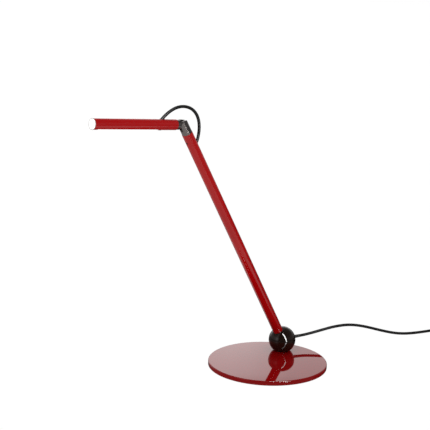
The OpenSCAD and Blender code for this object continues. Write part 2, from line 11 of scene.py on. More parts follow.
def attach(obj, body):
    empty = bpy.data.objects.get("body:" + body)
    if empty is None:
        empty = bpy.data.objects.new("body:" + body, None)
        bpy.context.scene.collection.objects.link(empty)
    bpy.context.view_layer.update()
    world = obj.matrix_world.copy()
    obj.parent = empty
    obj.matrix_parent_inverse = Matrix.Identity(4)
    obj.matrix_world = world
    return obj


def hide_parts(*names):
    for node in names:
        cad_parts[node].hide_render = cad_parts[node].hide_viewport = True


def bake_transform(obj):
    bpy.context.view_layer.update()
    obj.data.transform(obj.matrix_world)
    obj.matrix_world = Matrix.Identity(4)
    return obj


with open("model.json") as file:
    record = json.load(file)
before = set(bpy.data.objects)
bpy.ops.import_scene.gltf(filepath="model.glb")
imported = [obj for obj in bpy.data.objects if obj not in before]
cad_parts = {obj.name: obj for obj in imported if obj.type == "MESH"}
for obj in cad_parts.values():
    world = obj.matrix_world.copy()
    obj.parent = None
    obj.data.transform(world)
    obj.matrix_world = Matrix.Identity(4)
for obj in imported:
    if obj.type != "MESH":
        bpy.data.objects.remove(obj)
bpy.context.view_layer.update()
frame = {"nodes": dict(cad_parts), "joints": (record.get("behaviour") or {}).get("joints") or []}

MM = 0.001
CORD_D = 6
CORD_R = CORD_D / 2


# ---- frames, in mm: Z runs up the arm, and along the head away from the elbow ----

joints = {j["name"]: j for j in frame["joints"]}
ball_centre = Vector(joints["arm_tilt"]["pos_m"]) / MM
elbow = Vector(joints["head_tilt"]["pos_m"]) / MM
arm_span = elbow - ball_centre
arm_length = arm_span.length
arm_lean = math.atan2(-arm_span.x, arm_span.z)
push = Vector(joints["button_press"]["axis"])
head_rise = math.atan2(push.x, push.z)
head_length = 208

# Sizes that several pieces share
BASE_TOP = 9.5
BALL_R, BALL_IN = 27.75, 25.25
BALL_FOOT = -22.5       # from the ball's centre
ARM_R, ARM_IN = 10.25, 8.75
HEAD_R, HEAD_IN = 10, 8.5
TUBE_FROM = 19          # both tubes begin this far from the elbow pin
GAP = 0.3               # between the ball and the arm's foot
SLIP = 0.05             # a piece is this much smaller than the bore that it sits in
RING_W = 0.8
ARM_SCREW, HEAD_SCREW = 36, 29      # from the elbow pin
KNUCKLE_R = 9.8
KNUCKLE_CUT = 9.1
KNUCKLE_ROUND = 9.3
STUB_R, STUB_FROM = 9.2, 11
FORK_HALF, FORK_R = 4, 7.3
TONGUE_HALF, TONGUE_R, TONGUE_H = 3, 6.9, 4.6
STEM_SLOT, STEM_SLOT_END = 3.6, 3.8
SLOT_REACH = math.radians(13.4)

BASE = Matrix.Identity(4)
BALL = Matrix.Translation(ball_centre)
ARM = BALL @ Matrix.Rotation(-arm_lean, 4, "Y")
HEAD = Matrix.Translation(elbow) @ Matrix.Rotation(head_rise, 4, "Y")
OUT = HEAD @ Matrix.Rotation(-math.pi / 2, 4, "Y")


# ---- camera ----

LOOK = math.radians(47.763)
DOWN = math.radians(12.727)
ROLL = math.radians(1.469)
LENS = 102.57
CAMERA_AT = (-1.6672, -1.6672, 0.8406)


def make_camera():
    camera = bpy.data.objects.new("camera", bpy.data.cameras.new("camera"))
    camera.data.lens = LENS
    camera.data.sensor_width = 36
    camera.data.clip_end = 50
    turn = Matrix.Rotation(LOOK - math.pi / 2, 4, "Z") @ Matrix.Rotation(math.pi / 2 - DOWN, 4, "X")
    camera.matrix_world = Matrix.Translation(CAMERA_AT) @ turn @ Matrix.Rotation(ROLL, 4, "Z")
    bpy.context.scene.collection.objects.link(camera)
    bpy.context.scene.camera = camera


make_camera()


# ---- mesh helpers: all sizes in mm ----

def add_object(name, bm, sharp=32):
    bmesh.ops.recalc_face_normals(bm, faces=bm.faces)
    bmesh.ops.scale(bm, vec=(MM, MM, MM), verts=bm.verts)
    mesh = bpy.data.meshes.new(name)
    bm.to_mesh(mesh)
    bm.free()
    mesh.shade_smooth()
    mesh.set_sharp_from_angle(angle=math.radians(sharp))
    obj = bpy.data.objects.new(name, mesh)
    bpy.context.scene.collection.objects.link(obj)
    return obj


def arc(x, z, r, start, end, steps=8):
    """Points of an arc in a profile, from one angle to another in degrees."""
    angles = [math.radians(start + (end - start) * i / steps) for i in range(steps + 1)]
    return [(x + r * math.cos(a), z + r * math.sin(a)) for a in angles]


def lathe(name, profile, place, steps=160):
    """A closed profile of (radius, height) points turned about the Z axis of place."""
    bm = bmesh.new()
    rings = []
    for r, z in profile:
        count = 1 if r < 1e-4 else steps
        turns = [2 * math.pi * k / steps for k in range(count)]
        rings.append([bm.verts.new(place @ Vector((r * math.cos(a), r * math.sin(a), z))) for a in turns])
    for a, b in zip(rings, rings[1:] + rings[:1]):
        for k in range(steps):
            n = (k + 1) % steps
            corners = [a[k % len(a)], a[n % len(a)], b[n % len(b)], b[k % len(b)]]
            corners = list(dict.fromkeys(corners))
            if len(corners) > 2:
                bm.faces.new(corners)
    return add_object(name, bm)


def bar(name, a, b, r, place, steps=48):
    """A plain round bar from a to b, as a piece or as a cutter."""
    a, b = place @ Vector(a), place @ Vector(b)
    turn = (b - a).to_track_quat("Z", "Y").to_matrix().to_4x4()
    length = (b - a).length
    return lathe(name, [(0, 0), (r, 0), (r, length), (0, length)], Matrix.Translation(a) @ turn, steps)


def slab(name, low, high, place):
    """A box between two corners, as part of a piece or as a cutter."""
    bm = bmesh.new()
    bmesh.ops.create_cube(bm, size=1)
    for v in bm.verts:
        v.co = place @ Vector([low[i] if v.co[i] < 0 else high[i] for i in range(3)])
    return add_object(name, bm)


def combine(obj, tool, how="DIFFERENCE"):
    """Cuts obj with tool, joins it to it or keeps what they share, and removes the tool."""
    modifier = obj.modifiers.new("cut", "BOOLEAN")
    modifier.operation = how
    modifier.solver = "EXACT"
    modifier.object = tool
    graph = bpy.context.evaluated_depsgraph_get()
    mesh = bpy.data.meshes.new_from_object(obj.evaluated_get(graph))
    obj.modifiers.clear()
    obj.data = mesh
    bpy.data.objects.remove(tool)
    mesh.shade_smooth()
    mesh.set_sharp_from_angle(angle=math.radians(32))


# ---- cords ----

def smooth_line(points, step):
    """A line through the points, on centripetal Catmull-Rom curves, cut every step."""
    pts = [2 * points[0] - points[1], *points, 2 * points[-1] - points[-2]]
    line = []
    for p0, p1, p2, p3 in zip(pts, pts[1:], pts[2:], pts[3:]):
        t1 = (p1 - p0).length ** 0.5
        t2 = t1 + (p2 - p1).length ** 0.5
        t3 = t2 + (p3 - p2).length ** 0.5
        count = max(1, round((p2 - p1).length / step))
        for i in range(count):
            t = t1 + (t2 - t1) * i / count
            a1 = p0 * (t1 - t) / t1 + p1 * t / t1
            a2 = p1 * (t2 - t) / (t2 - t1) + p2 * (t - t1) / (t2 - t1)
            a3 = p2 * (t3 - t) / (t3 - t2) + p3 * (t - t2) / (t3 - t2)
            b1 = a1 * (t2 - t) / t2 + a2 * t / t2
            b2 = a2 * (t3 - t) / (t3 - t1) + a3 * (t - t1) / (t3 - t1)
            line.append(b1 * (t2 - t) / (t2 - t1) + b2 * (t - t1) / (t2 - t1))
    line.append(points[-1].copy())
    return line


def tube(name, line, r0, r1=None, sides=16):
    """A round tube along a line, with UV: length in metres along it, and the turn around it."""
    r1 = r0 if r1 is None else r1
    bm = bmesh.new()
    uv = bm.loops.layers.uv.new("along")
    last = len(line) - 1
    tangents = [(line[min(i + 1, last)] - line[max(i - 1, 0)]).normalized() for i in range(len(line))]
    side = tangents[0].orthogonal().normalized()
    rings, lengths = [], [0.0]
    for i, (p, t) in enumerate(zip(line, tangents)):
        side = (side - t * side.dot(t)).normalized()
        up = t.cross(side)
        r = r0 + (r1 - r0) * i / last
        rings.append([bm.verts.new(p + r * (side * math.cos(a) + up * math.sin(a)))
                      for a in (2 * math.pi * k / sides for k in range(sides))])
        if i:
            lengths.append(lengths[-1] + (p - line[i - 1]).length * MM)
    for i in range(len(line) - 1):
        for k in range(sides):
            n = (k + 1) % sides
            face = bm.faces.new([rings[i][k], rings[i][n], rings[i + 1][n], rings[i + 1][k]])
            spots = [(i, k), (i, k + 1), (i + 1, k + 1), (i + 1, k)]
            for loop, (j, turn) in zip(face.loops, spots):
                loop[uv].uv = (lengths[j], turn / sides)
    bm.faces.new(rings[0])
    bm.faces.new(rings[-1])
    return add_object(name, bm, 60)


LOOP_XZ = [
    (-57.4, 8.9), (-51.7, 13.7), (-46, 18.4), (-39.2, 23.1), (-31.7, 27.3),
    (-24, 30.6), (-16.8, 32.7), (-9.6, 33.8), (-2.4, 33.9), (4.8, 33.1),
    (12, 31.2), (18.8, 28.3), (24.8, 24.3), (29.8, 19.5), (33.7, 14.1),
    (36.5, 8.2), (38.3, 2.1), (39.2, -4.1), (39.4, -10.3), (38.9, -16.7),
    (37.6, -23.9), (35.4, -31.3), (32.2, -38.8), (28.9, -46.2)]
EXIT_XYZ = [(25, 0, 31.5), (31, 0, 31.3), (36, -0.4, 31.2), (41, -1.4, 31.2), (47, -3, 31.4)]
RUN_XYZ = [
    (47, -3, 31.4), (59, -6, 32), (71, -9.4, 33.2), (83, -13, 34.8), (95, -16.7, 36.7),
    (107, -20.4, 38.5), (119, -24, 40.2), (131, -27.6, 41.4), (143, -31.2, 41.9),
    (155, -34.8, 41.8), (168, -38.7, 40.6), (182, -42.9, 38.1), (198, -47.7, 34),
    (215, -52.8, 28.7), (232, -57.9, 22.9), (249, -63, 17.2), (266, -68.1, 12),
    (283, -73.2, 7.8), (300, -78.3, 5), (318, -83.7, 3.5), (336, -89.1, 3),
    (354, -94.5, 3), (372, -99.9, 3.3), (387, -104.4, 3.8), (402.3, -109, 4)]

COIL_AT = Vector((ball_centre.x + 390.2, ball_centre.y - 149.4, 0))
COIL_START = 73.3
COIL_R = (42.2, 36, 29.8)
TAIL_ANGLE = COIL_START - 50
PLUG_ANGLE = -67
PLUG_R = 60
TIE_H = 1
LAYERS = 2
# Turns of the coil: where each change of lane starts and ends, in degrees, and the lane after it
LANES = [
    (0, 0, COIL_R[0], 0), (250, 360, COIL_R[1], 0), (610, 720, COIL_R[2], 0), (970, 1080, COIL_R[2], 1),
    (1330, 1440, COIL_R[1], 1), (1690, 1800, COIL_R[0], 1)]
COIL_TURNED = 1850


def ease(t):
    t = min(1, max(0, t))
    return t * t * (3 - 2 * t)


def coil_point(turned):
    r, layer = LANES[0][2:]
    z = 0.0
    for start, end, lane_r, lane in LANES[1:]:
        part = ease((turned - start) / (end - start))
        r += (lane_r - r) * part
        z += (lane - z) * part
    a = math.radians(COIL_START - turned)
    return COIL_AT + Vector((r * math.cos(a), r * math.sin(a), TIE_H + CORD_R + CORD_D * z))


def tail_point(t):
    a = math.radians(TAIL_ANGLE + (PLUG_ANGLE - TAIL_ANGLE) * t)
    r = COIL_R[0] + (PLUG_R - COIL_R[0]) * ease(t)
    top = TIE_H + (LAYERS - 0.5) * CORD_D
    z = top + (CORD_R - top) * ease((t - 0.35) / 0.65)
    return COIL_AT + Vector((r * math.cos(a), r * math.sin(a), z))


def from_ball(points):
    return [Vector((ball_centre.x + x, ball_centre.y + y, z)) for x, y, z in points]


def mains_line():
    run = from_ball(RUN_XYZ)
    coil = [coil_point(turned) for turned in range(10, COIL_TURNED, 10)]
    tail = [tail_point(i / 12) for i in range(13)]
    return smooth_line(run + coil + tail, 2.5)


def loop_line():
    return smooth_line([elbow + Vector((x, 0, z)) for x, z in LOOP_XZ], 2)


main_line = mains_line()
mains = tube("mains_flex", main_line, CORD_R - 0.02)
loop_path = loop_line()
loop = tube("loop_flex", loop_path, CORD_R - 0.02)
sleeve_path = smooth_line(from_ball(EXIT_XYZ), 1)
sleeve = tube("strain_relief", sleeve_path, 3.85, 3.15, 24)


# ---- materials ----

def nodes_of(name):
    material = bpy.data.materials.new(name)
    material.use_nodes = True
    tree = material.node_tree
    return material, tree, tree.nodes["Principled BSDF"]


def add_node(tree, kind, **values):
    node = tree.nodes.new(kind)
    for key, value in values.items():
        if key in node.inputs:
            node.inputs[key].default_value = value
        else:
            setattr(node, key, value)
    return node


def noise(tree, scale, detail=3, stretch=None, source="Object"):
    spot = tree.nodes.new("ShaderNodeTexCoord").outputs[source]
    if stretch:
        mapping = tree.nodes.new("ShaderNodeMapping")
        mapping.inputs["Scale"].default_value = stretch
        tree.links.new(spot, mapping.inputs["Vector"])
        spot = mapping.outputs["Vector"]
    texture = add_node(tree, "ShaderNodeTexNoise", Scale=scale, Detail=detail)
    tree.links.new(spot, texture.inputs["Vector"])
    return texture.outputs["Fac"]


def spread(tree, value, low, high):
    """Maps 0.3 to 0.7, where a noise mostly lies, to low and high."""
    node = add_node(tree, "ShaderNodeMapRange")
    for key, number in zip(("From Min", "From Max", "To Min", "To Max"), (0.3, 0.7, low, high)):
        node.inputs[key].default_value = number
    tree.links.new(value, node.inputs["Value"])
    return node.outputs["Result"]


def tint(tree, factor, dark, light):
    ramp = tree.nodes.new("ShaderNodeValToRGB")
    ramp.color_ramp.elements[0].position = 0.35
    ramp.color_ramp.elements[1].position = 0.65
    ramp.color_ramp.elements[0].color = (*dark, 1)
    ramp.color_ramp.elements[1].color = (*light, 1)
    tree.links.new(factor, ramp.inputs["Fac"])
    return ramp.outputs["Color"]


def bump(tree, shader, height, depth, edge=0.0):
    """A bump of that depth in metres, over edges rounded by edge in metres."""
    node = add_node(tree, "ShaderNodeBump", Strength=1.0, Distance=depth)
    tree.links.new(height, node.inputs["Height"])
    if edge:
        rounded = add_node(tree, "ShaderNodeBevel", samples=6, Radius=edge)
        tree.links.new(rounded.outputs["Normal"], node.inputs["Normal"])
    tree.links.new(node.outputs["Normal"], shader.inputs["Normal"])


def lacquer(name, deep, bright, rough):
    """Gloss paint: slight colour drift, faint orange peel and a fine haze of dust in the gloss."""
    material, tree, shader = nodes_of(name)
    tree.links.new(tint(tree, noise(tree, 9), deep, bright), shader.inputs["Base Color"])
    tree.links.new(spread(tree, noise(tree, 420, 4), rough * 0.85, rough * 1.2), shader.inputs["Roughness"])
    shader.inputs["IOR"].default_value = 1.5
    bump(tree, shader, noise(tree, 260, 2), 0.0000015)
    return material


def metal(name, dark, light, rough, stretch, edge=0.0003):
    """Plated or turned metal: fine lines along one way, and roughness that varies with them."""
    material, tree, shader = nodes_of(name)
    lines = noise(tree, 900, 2, stretch)
    tree.links.new(tint(tree, noise(tree, 60, 3), dark, light), shader.inputs["Base Color"])
    tree.links.new(spread(tree, lines, rough * 0.75, rough * 1.3), shader.inputs["Roughness"])
    shader.inputs["Metallic"].default_value = 1
    bump(tree, shader, lines, 0.000006, edge)
    return material


def plastic(name, dark, light, rough, grain=700, depth=0.00001, edge=0.0002):
    """Moulded plastic or rubber with a fine grain."""
    material, tree, shader = nodes_of(name)
    grains = noise(tree, grain, 3)
    tree.links.new(tint(tree, noise(tree, 35, 2), dark, light), shader.inputs["Base Color"])
    tree.links.new(spread(tree, grains, rough * 0.85, rough * 1.15), shader.inputs["Roughness"])
    bump(tree, shader, grains, depth, edge)
    return material


TWIST = 0.034           # metres of cord to a turn of the cores
CORES = 3


def sheath(name):
    """Black cord sheath whose cores show through as a slow twist, with a fine grain."""
    material, tree, shader = nodes_of(name)
    uv = tree.nodes.new("ShaderNodeUVMap")
    uv.uv_map = "along"
    parts = tree.nodes.new("ShaderNodeSeparateXYZ")
    tree.links.new(uv.outputs["UV"], parts.inputs["Vector"])
    along = add_node(tree, "ShaderNodeMath", operation="MULTIPLY")
    along.inputs[1].default_value = 2 * math.pi / TWIST
    tree.links.new(parts.outputs["X"], along.inputs[0])
    around = add_node(tree, "ShaderNodeMath", operation="MULTIPLY")
    around.inputs[1].default_value = 2 * math.pi * CORES
    tree.links.new(parts.outputs["Y"], around.inputs[0])
    phase = add_node(tree, "ShaderNodeMath", operation="ADD")
    tree.links.new(along.outputs[0], phase.inputs[0])
    tree.links.new(around.outputs[0], phase.inputs[1])
    wave = add_node(tree, "ShaderNodeMath", operation="SINE")
    tree.links.new(phase.outputs[0], wave.inputs[0])
    grains = noise(tree, 900, 3)
    height = add_node(tree, "ShaderNodeMath", operation="MULTIPLY_ADD")
    height.inputs[1].default_value = 2.5
    tree.links.new(wave.outputs[0], height.inputs[0])
    tree.links.new(grains, height.inputs[2])
    tree.links.new(tint(tree, noise(tree, 45, 2), (0.002, 0.0014, 0.0012), (0.005, 0.0035, 0.003)),
                   shader.inputs["Base Color"])
    tree.links.new(spread(tree, grains, 0.36, 0.46), shader.inputs["Roughness"])
    shader.inputs["Specular IOR Level"].default_value = 0.3
    bump(tree, shader, height.outputs[0], 0.00001)
    return material


def opal(name, strength, dark=(0.94, 0.93, 0.9), light=(1, 0.99, 0.97)):
    """Opal plastic lit from inside."""
    material, tree, shader = nodes_of(name)
    glow = tint(tree, noise(tree, 50, 2), dark, light)
    tree.links.new(glow, shader.inputs["Base Color"])
    tree.links.new(glow, shader.inputs["Emission Color"])
    shader.inputs["Emission Strength"].default_value = strength
    tree.links.new(spread(tree, noise(tree, 600), 0.3, 0.45), shader.inputs["Roughness"])
    return material


red_tube = lacquer("red_tube", (0.41, 0.001, 0.002), (0.45, 0.002, 0.003), 0.13)
# The plate's red is the tubes' red at about half brightness: painted shade for the weaker light that falls on
# its upward face.
shaded_red_plate = lacquer("shaded_red_plate", (0.22, 0.0015, 0.002), (0.24, 0.002, 0.003), 0.015)
black_gloss = lacquer("black_gloss", (0.013, 0.006, 0.004), (0.018, 0.009, 0.006), 0.08)
dark_nickel = metal("dark_nickel", (0.21, 0.19, 0.18), (0.25, 0.225, 0.215), 0.22, (1, 1, 0.1), 0)
zinc = metal("zinc", (0.5, 0.51, 0.53), (0.62, 0.62, 0.63), 0.3, (1, 1, 0.15))
alloy = metal("alloy", (0.6, 0.6, 0.61), (0.7, 0.7, 0.71), 0.35, (0.1, 1, 1))
black_oxide = metal("black_oxide", (0.02, 0.02, 0.021), (0.035, 0.034, 0.034), 0.35, (1, 1, 1))
brass_pin = metal("brass_pin", (0.62, 0.56, 0.45), (0.72, 0.66, 0.55), 0.22, (1, 1, 0.2))
soft_black = plastic("soft_black", (0.012, 0.011, 0.011), (0.02, 0.019, 0.018), 0.5)
satin_black = plastic("satin_black", (0.014, 0.013, 0.013), (0.022, 0.021, 0.02), 0.42)
foam = plastic("foam", (0.018, 0.018, 0.018), (0.04, 0.04, 0.04), 0.85, 1500, 0.00008)
fibre = plastic("fibre", (0.13, 0.06, 0.03), (0.2, 0.1, 0.05), 0.7, 1200, 0.00004)
nylon = plastic("nylon", (0.62, 0.6, 0.54), (0.7, 0.68, 0.62), 0.45)
wire = plastic("wire", (0.25, 0.25, 0.25), (0.33, 0.33, 0.33), 0.45)
resin = plastic("resin", (0.012, 0.013, 0.018), (0.02, 0.021, 0.027), 0.35)
board_white = plastic("board_white", (0.72, 0.73, 0.71), (0.8, 0.8, 0.78), 0.4)
phosphor = opal("phosphor", 1.5, (0.95, 0.72, 0.3), (1, 0.82, 0.4))
opal_lens = opal("opal_lens", 0.8)
opal_strip = opal("opal_strip", 0.6)
pale_grey = plastic("pale_grey", (0.3, 0.27, 0.26), (0.36, 0.33, 0.32), 0.35)
cord_black = sheath("cord_black")

CAD_LOOKS = {
    zinc: ["base_screw_0", "base_screw_1", "base_screw_2", "swivel_axle", "wave_washer", "axle_nut", "yoke",
           "dome_screw_0", "dome_screw_1", "tilt_pin", "pin_clip", "arm_hub", "arm_stem", "stem_nut"],
    fibre: ["friction_washer", "friction_disc_0", "friction_disc_1"],
    nylon: ["elbow_washer_0", "elbow_washer_1"],
    dark_nickel: ["elbow_pin"],
    alloy: ["arm_foot", "heat_bar"],
    black_oxide: ["arm_set_screw", "head_set_screw"],
    satin_black: ["slot_shutter", "switch_body", "push_button"],
    soft_black: ["pull_stop", "arm_grommet", "head_grommet"],
    wire: ["ball_lead", "arm_lead"],
    brass_pin: ["plug_pin_0", "plug_pin_1"],
    resin: ["led_driver"],
    board_white: ["led_board"],
    phosphor: ["led_chips"],
    opal_strip: ["diffuser"],
}


def dress(obj, material):
    obj.data.materials.clear()
    obj.data.materials.append(material)
    return obj


def dress_cad():
    for material, names in CAD_LOOKS.items():
        for name in names:
            for slot in frame["nodes"][name].material_slots:
                slot.material = material


# ---- pieces ----

def make_plate():
    """The base plate with its rounded rim and the recess for the pad."""
    profile = [(0, 1.4), (113, 1.4), (113, 0.4)]
    profile += arc(119.2, 1.2, 0.8, -90, 0, 6)
    profile += arc(118, BASE_TOP - 2, 2, 0, 90, 14)
    profile += [(0, BASE_TOP)]
    plate = dress(lathe("plate", profile, BASE, 384), shaded_red_plate)
    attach(plate, "root")
    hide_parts("base_plate")


def make_pad():
    """The thin pad under the plate."""
    profile = [(0, 0), *arc(112.2, 0.3, 0.3, -90, 0, 4), *arc(112.2, 1.05, 0.3, 0, 90, 4), (0, 1.35)]
    pad = dress(lathe("pad", profile, BASE, 256), foam)
    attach(pad, "root")
    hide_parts("base_pad")


def shell_profile(low, high, outer, inner, floor=None):
    """Half of the ball's wall between two heights, with small roundings at its open rims."""
    def at(r, z):
        return math.degrees(math.asin(z / r))

    lip = 0.25
    if floor is None:
        outside = arc(0, 0, outer, at(outer, low + lip), 90, 60)
        inside = arc(0, 0, inner, 90, at(inner, low + lip), 60)
        rim = [(math.sqrt(inner**2 - low**2) + lip, low), (math.sqrt(outer**2 - low**2) - lip, low)]
        return outside + inside + rim
    outside = arc(0, 0, outer, at(outer, low), at(outer, high - lip), 60)
    inside = arc(0, 0, inner, at(inner, high - lip), at(inner, floor), 50)
    rim = [(math.sqrt(outer**2 - high**2) - lip, high), (math.sqrt(inner**2 - high**2) + lip, high)]
    return [(0, low)] + outside + rim + inside + [(0, floor)]


def make_ball():
    """The ball's two shells. The upper one has the slot that the arm's stem moves in."""
    lower = lathe("ball_shell_low", shell_profile(BALL_FOOT, 5, BALL_R, BALL_IN, BALL_FOOT + 3), BALL, 192)
    combine(lower, bar("cutter", (20, 0, -0.5), (30, 0, -0.5), 4, BALL))
    combine(lower, bar("cutter", (0, 0, -25), (0, 0, -18), 4.05, BALL))
    dress(lower, black_gloss)
    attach(lower, "root")
    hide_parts("ball_lower")

    upper = lathe("ball_shell_top", shell_profile(5.3, BALL_R, BALL_R, BALL_IN), BALL, 192)
    far = 45
    wide = far * math.tan(SLOT_REACH)
    slot = slab("cutter", (-1, -STEM_SLOT, 10), (1, STEM_SLOT, far), ARM)
    for v in slot.data.vertices:
        spot = ARM.inverted() @ (v.co / MM)
        spot.x = math.copysign(wide * spot.z / far, spot.x)
        v.co = (ARM @ spot) * MM
    combine(upper, slot)
    for side in (-1, 1):
        way = Vector((side * math.sin(SLOT_REACH), 0, math.cos(SLOT_REACH)))
        combine(upper, bar("cutter", 12 * way, far * way, STEM_SLOT_END, ARM))
    for side in (-1, 1):
        boss = (side * 5.8, side * 9.6)
        combine(upper, bar("boss", (*boss, 9.05), (*boss, 23.75), 2.2, BALL), "UNION")
        combine(upper, bar("cutter", (*boss, 8), (*boss, 16), 1.3, BALL))
    dress(upper, black_gloss)
    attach(upper, "swivel")
    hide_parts("ball_upper")


def ring_profile(outer, inner, low, high, edge=0.3):
    """The wall of a tube between two heights, its outer edges rounded."""
    return (arc(outer - edge, low + edge, edge, -90, 0, 4) + arc(outer - edge, high - edge, edge, 0, 90, 4)
            + [(inner, high), (inner, low)])


def cable_way(inside, outside):
    """A cutter along the loop cable, from a point inside a tube through a point outside it."""
    a, b = (elbow + Vector((x, 0, z)) for x, z in (inside, outside))
    return bar("cutter", a, a + 1.6 * (b - a), 3.95, BASE)


def make_arm_tube():
    """The arm tube. Its foot follows the ball at a small gap."""
    gap = BALL_R + GAP
    mid = (ARM_R + ARM_IN) / 2
    foot_out, foot_mid, foot_in = (math.sqrt(gap**2 - r**2) for r in (ARM_R, mid, ARM_IN))
    top = arm_length - TUBE_FROM
    profile = [(ARM_IN, foot_in), (mid, foot_mid), (ARM_R - 0.2, foot_out + 0.12), (ARM_R, foot_out + 0.45)]
    profile += arc(ARM_R - 0.3, top - 0.3, 0.3, 0, 90, 4) + [(ARM_IN, top)]
    arm = lathe("arm_skin", profile, ARM, 160)
    screw = arm_length - ARM_SCREW
    combine(arm, bar("cutter", (-20, 0, screw), (0, 0, screw), 2.3, ARM))
    combine(arm, cable_way(LOOP_XZ[-1], LOOP_XZ[-3]))
    dress(arm, red_tube)
    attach(arm, "arm")
    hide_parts("arm_tube")


def make_head_tube():
    """The head tube with its light slot, button hole, screw hole and cable hole."""
    profile = ring_profile(HEAD_R, HEAD_IN, TUBE_FROM, head_length - RING_W)
    head = lathe("head_skin", profile, OUT, 160)
    combine(head, slab("cutter", (-head_length + 10, -5, -20), (-62, 5, 0), HEAD))
    combine(head, bar("cutter", (-56, 0, -20), (-56, 0, 0), 3.2, HEAD))
    combine(head, bar("cutter", (-HEAD_SCREW, 0, -20), (-HEAD_SCREW, 0, 0), 1.7, HEAD))
    combine(head, cable_way(LOOP_XZ[0], LOOP_XZ[2]))
    dress(head, red_tube)
    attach(head, "head")
    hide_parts("head_tube")


def soften(obj, width, segments=3):
    """Rounds every sharp edge of a cut solid."""
    modifier = obj.modifiers.new("soften", "BEVEL")
    modifier.width = width * MM
    modifier.segments = segments
    modifier.limit_method = "ANGLE"
    modifier.angle_limit = math.radians(28)
    modifier.harden_normals = False
    graph = bpy.context.evaluated_depsgraph_get()
    mesh = bpy.data.meshes.new_from_object(obj.evaluated_get(graph))
    obj.modifiers.clear()
    obj.data = mesh
    mesh.shade_smooth()
    mesh.set_sharp_from_angle(angle=math.radians(40))


def y_bar(name, half, r, place, steps=64):
    return bar(name, (0, -half, 0), (0, half, 0), r, place, steps)


def make_knuckles():
    """The fork on top of the arm, with its slot for the tongue, and the head's stub with the tongue."""
    pin = Matrix.Translation(elbow)
    low = arm_length - TUBE_FROM
    fork = bar("fork", (0, 0, low), (0, 0, low + 40), KNUCKLE_R, ARM, 128)
    combine(fork, slab("cutter", (-50, -50, KNUCKLE_CUT), (50, 50, 60), HEAD))
    keep = y_bar("keep", 15, KNUCKLE_ROUND, pin, 96)
    combine(keep, slab("right", (0, -15, -60), (60, 15, 60), HEAD), "UNION")
    lean = pin @ Matrix.Rotation(-arm_lean, 4, "Y")
    combine(keep, slab("under", (-30, -15, -80), (30, 15, 0), lean), "UNION")
    combine(fork, keep, "INTERSECT")
    combine(fork, y_bar("cutter", FORK_HALF, FORK_R, pin))
    # The slot: over the pin, beside it, and further down for the tongue with the head at its lowest
    for left, right, bottom, top in ((-40, 0.5, 0, 40), (-40, 0, -9.5, 0.5), (-40, -2, -13.5, -9)):
        combine(fork, slab("cutter", (left, -FORK_HALF, bottom), (right, FORK_HALF, top), HEAD))
    soften(fork, 0.35)
    spigot = bar("spigot", (0, 0, low - 23), (0, 0, low + 1), ARM_IN - SLIP, ARM, 96)
    combine(spigot, y_bar("cutter", FORK_HALF, FORK_R, pin))
    screw = arm_length - ARM_SCREW
    combine(spigot, bar("cutter", (-12, 0, screw), (0, 0, screw), 2.05, ARM))

    tongue = y_bar("tongue", TONGUE_HALF, TONGUE_R, pin, 96)
    web = slab("web", (-14, -TONGUE_HALF, -TONGUE_H), (0, TONGUE_HALF, TONGUE_H), HEAD)
    combine(tongue, web, "UNION")
    combine(tongue, y_bar("cutter", 20, 3.05, pin))
    soften(tongue, 0.25)
    edge = arc(STUB_R - 0.5, STUB_FROM + 0.5, 0.5, -90, 0, 5)
    profile = [(0, STUB_FROM), *edge, (STUB_R, TUBE_FROM), (0, TUBE_FROM)]
    stub = lathe("stub", profile, OUT, 128)
    inner = bar("stub_spigot", (-18.5, 0, 0), (-39, 0, 0), HEAD_IN - SLIP, HEAD, 96)
    combine(inner, bar("cutter", (-HEAD_SCREW, 0, -20), (-HEAD_SCREW, 0, -4), 1.55, HEAD))
    for obj, body, node in ((fork, "arm", "arm_knuckle"), (spigot, "arm", "arm_knuckle"),
                            (tongue, "head", "head_knuckle"), (stub, "head", "head_knuckle"),
                            (inner, "head", "head_knuckle")):
        dress(obj, dark_nickel)
        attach(obj, body)
        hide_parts(node)


def make_end():
    """The pale ring and the crowned opal lens on the head's free end."""
    low, high = head_length - RING_W, head_length
    inner = HEAD_IN - 0.85
    sleeve_r = HEAD_IN - SLIP
    profile = [(inner, low - 6), (sleeve_r, low - 6), (sleeve_r, low), (HEAD_R, low + 0.02)]
    profile += arc(HEAD_R + 0.05, low + 0.17, 0.15, -60, 0, 4)
    profile += arc(HEAD_R - 0.1, high - 0.3, 0.3, 0, 90, 6)
    profile += arc(HEAD_R - 0.55, high - 0.15, 0.15, 90, 180, 3)
    profile += [(HEAD_R - 0.7, low + 0.3), (inner, low + 0.3)]
    ring = dress(lathe("end_trim", profile, OUT, 128), pale_grey)
    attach(ring, "head")
    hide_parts("end_ring")
    wide = HEAD_R - 0.75
    turns = [math.pi / 2 * i / 8 for i in range(9)]
    rise = [(wide * math.cos(a), high - 0.25 + 0.15 * math.sin(a)) for a in turns]
    seat = low + 0.37
    face = [(0, low - 5), (inner - SLIP, low - 5), (inner - SLIP, seat), (wide, seat)] + rise
    lens = dress(lathe("end_window", face, OUT, 128), opal_lens)
    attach(lens, "head")
    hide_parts("end_lens")


PLUG = (Matrix.Translation(tail_point(1)) @ Matrix.Rotation(math.radians(PLUG_ANGLE - 90), 4, "Z")
        @ Matrix.Translation((0, 0, 13.6 / 2 - CORD_R)))


